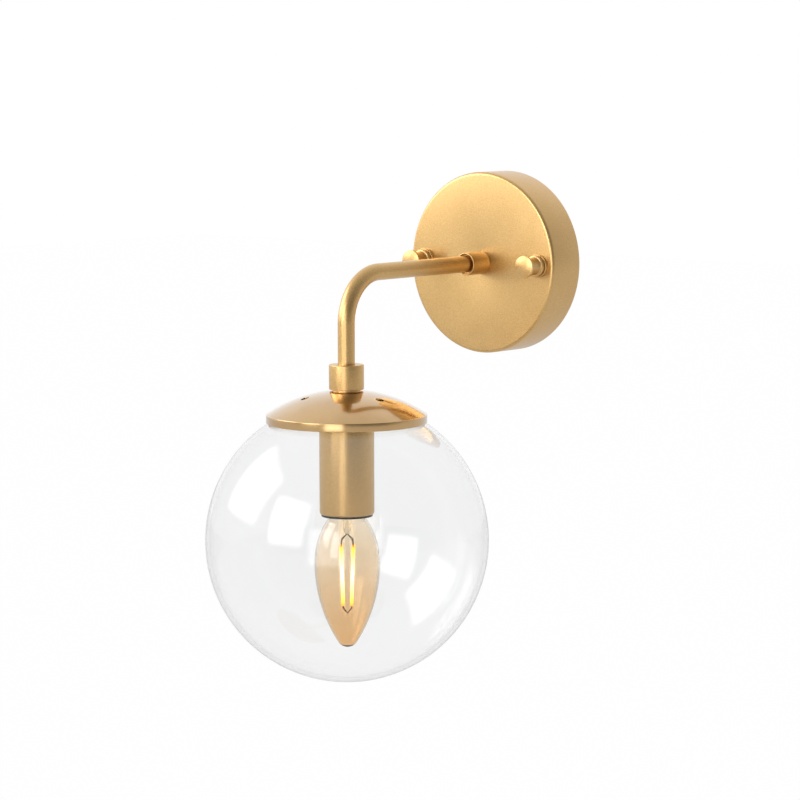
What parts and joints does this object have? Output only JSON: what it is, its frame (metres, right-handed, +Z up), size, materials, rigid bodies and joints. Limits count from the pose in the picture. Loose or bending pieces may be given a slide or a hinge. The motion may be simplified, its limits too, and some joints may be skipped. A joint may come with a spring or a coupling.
{
  "type": "globe wall sconce",
  "caption": "Wall light: gold canopy with turned knob nuts, bent arm tube, domed cap and sleeve, clear glass globe and a candle bulb.",
  "frame": {"origin": "centre of the canopy on the wall plane, in the middle of the line between the two wall slots", "axes": "+Y into the wall, +Z up, +X to the right of a person who faces the light"},
  "size_m": [0.15, 0.212, 0.2658],
  "materials": {
    "gold_satin": "satin gold paint",
    "gold_gloss": "gloss gold lacquer",
    "zinc_steel": "zinc plated",
    "spring_steel": "bright spring steel",
    "brass_parts": "plain brass",
    "tinned_copper": "tinned copper",
    "white_plastic": "moulded",
    "black_plastic": "moulded",
    "earth_insulation": "green and yellow insulation",
    "live_insulation": "brown insulation",
    "neutral_insulation": "blue insulation",
    "clear_glass": "clear blown glass",
    "amber_glass": "amber tinted glass",
    "stem_glass": "glass stem",
    "bulb_metal": "rolled shell",
    "filament_yellow": "coated filament",
    "support_wire": "dark wire"
  },
  "bodies": {
    "fixture": {"canopy": "gold_satin", "arm_collar": "gold_satin", "arm_tube": "gold_satin", "drop_collar": "gold_satin", "lampholder_sleeve": "gold_satin", "cap_dome": "gold_gloss", "mounting_bracket": "zinc_steel", "canopy_studs": "zinc_steel", "stud_nuts": "zinc_steel", "block_screw": "zinc_steel", "earth_washer": "zinc_steel", "earth_screw": "zinc_steel", "arm_nipple": "zinc_steel", "arm_star_washer": "zinc_steel", "arm_lock_nut": "zinc_steel", "drop_nipple": "zinc_steel", "cap_star_washer": "zinc_steel", "cap_lock_nut": "zinc_steel", "clip_plate": "zinc_steel", "clip_rivets": "zinc_steel", "holder_screws": "zinc_steel", "globe_clips": "spring_steel", "terminal_tubes": "brass_parts", "terminal_screws": "brass_parts", "holder_terminals": "brass_parts", "screw_shell": "brass_parts", "earth_tags": "tinned_copper", "terminal_block": "white_plastic", "holder_cap": "black_plastic", "holder_skirt": "black_plastic", "holder_core": "black_plastic", "earth_wire": "earth_insulation", "live_wire": "live_insulation", "neutral_wire": "neutral_insulation"},
    "globe": {"glass_globe": "clear_glass"},
    "bulb_travel": {"bulb_tip": "brass_parts"},
    "bulb": {"bulb_insulator": "black_plastic", "bulb_cap": "bulb_metal", "bulb_glass": "amber_glass", "bulb_stem": "stem_glass", "bulb_filaments": "filament_yellow", "bulb_wires": "support_wire"},
    "left_knob_travel": {"knob_washer_left": "gold_satin"},
    "left_knob": {"knob_nut_left": "gold_satin"},
    "right_knob_travel": {"knob_washer_right": "gold_satin"},
    "right_knob": {"knob_nut_right": "gold_satin"},
    "contact": {"centre_contact": "brass_parts"}
  },
  "joints": [
    {"name": "globe_lift_off", "type": "slide", "parent": "fixture", "child": "globe", "axis": [0, 0, -1], "range_m": [0, 0.14]},
    {"name": "bulb_slide", "type": "slide", "parent": "fixture", "child": "bulb_travel", "axis": [0, 0, -1], "range_m": [0, 0.0127]},
    {"name": "bulb_turn", "type": "hinge", "parent": "bulb_travel", "child": "bulb", "pos_m": [0, -0.137, -0.1], "axis": [0, 0, -1], "range_deg": [0, 1620]},
    {"name": "left_knob_slide", "type": "slide", "parent": "fixture", "child": "left_knob_travel", "axis": [0, -1, 0], "range_m": [0, 0.0126]},
    {"name": "left_knob_turn", "type": "hinge", "parent": "left_knob_travel", "child": "left_knob", "pos_m": [-0.04, -0.03, 0], "axis": [0, -1, 0], "range_deg": [0, 6480]},
    {"name": "right_knob_slide", "type": "slide", "parent": "fixture", "child": "right_knob_travel", "axis": [0, -1, 0], "range_m": [0, 0.0126]},
    {"name": "right_knob_turn", "type": "hinge", "parent": "right_knob_travel", "child": "right_knob", "pos_m": [0.04, -0.03, 0], "axis": [0, -1, 0], "range_deg": [0, 6480]},
    {"name": "contact_press", "type": "slide", "parent": "fixture", "child": "contact", "axis": [0, 0, 1], "range_m": [0, 0.0008], "stiffness_N_per_m": 1500}
  ],
  "couplings": [
    {"joint": "bulb_slide", "follows": "bulb_turn", "m_per_rad": 0.00044914},
    {"joint": "left_knob_slide", "follows": "left_knob_turn", "m_per_rad": 0.00011141},
    {"joint": "right_knob_slide", "follows": "right_knob_turn", "m_per_rad": 0.00011141}
  ]
}
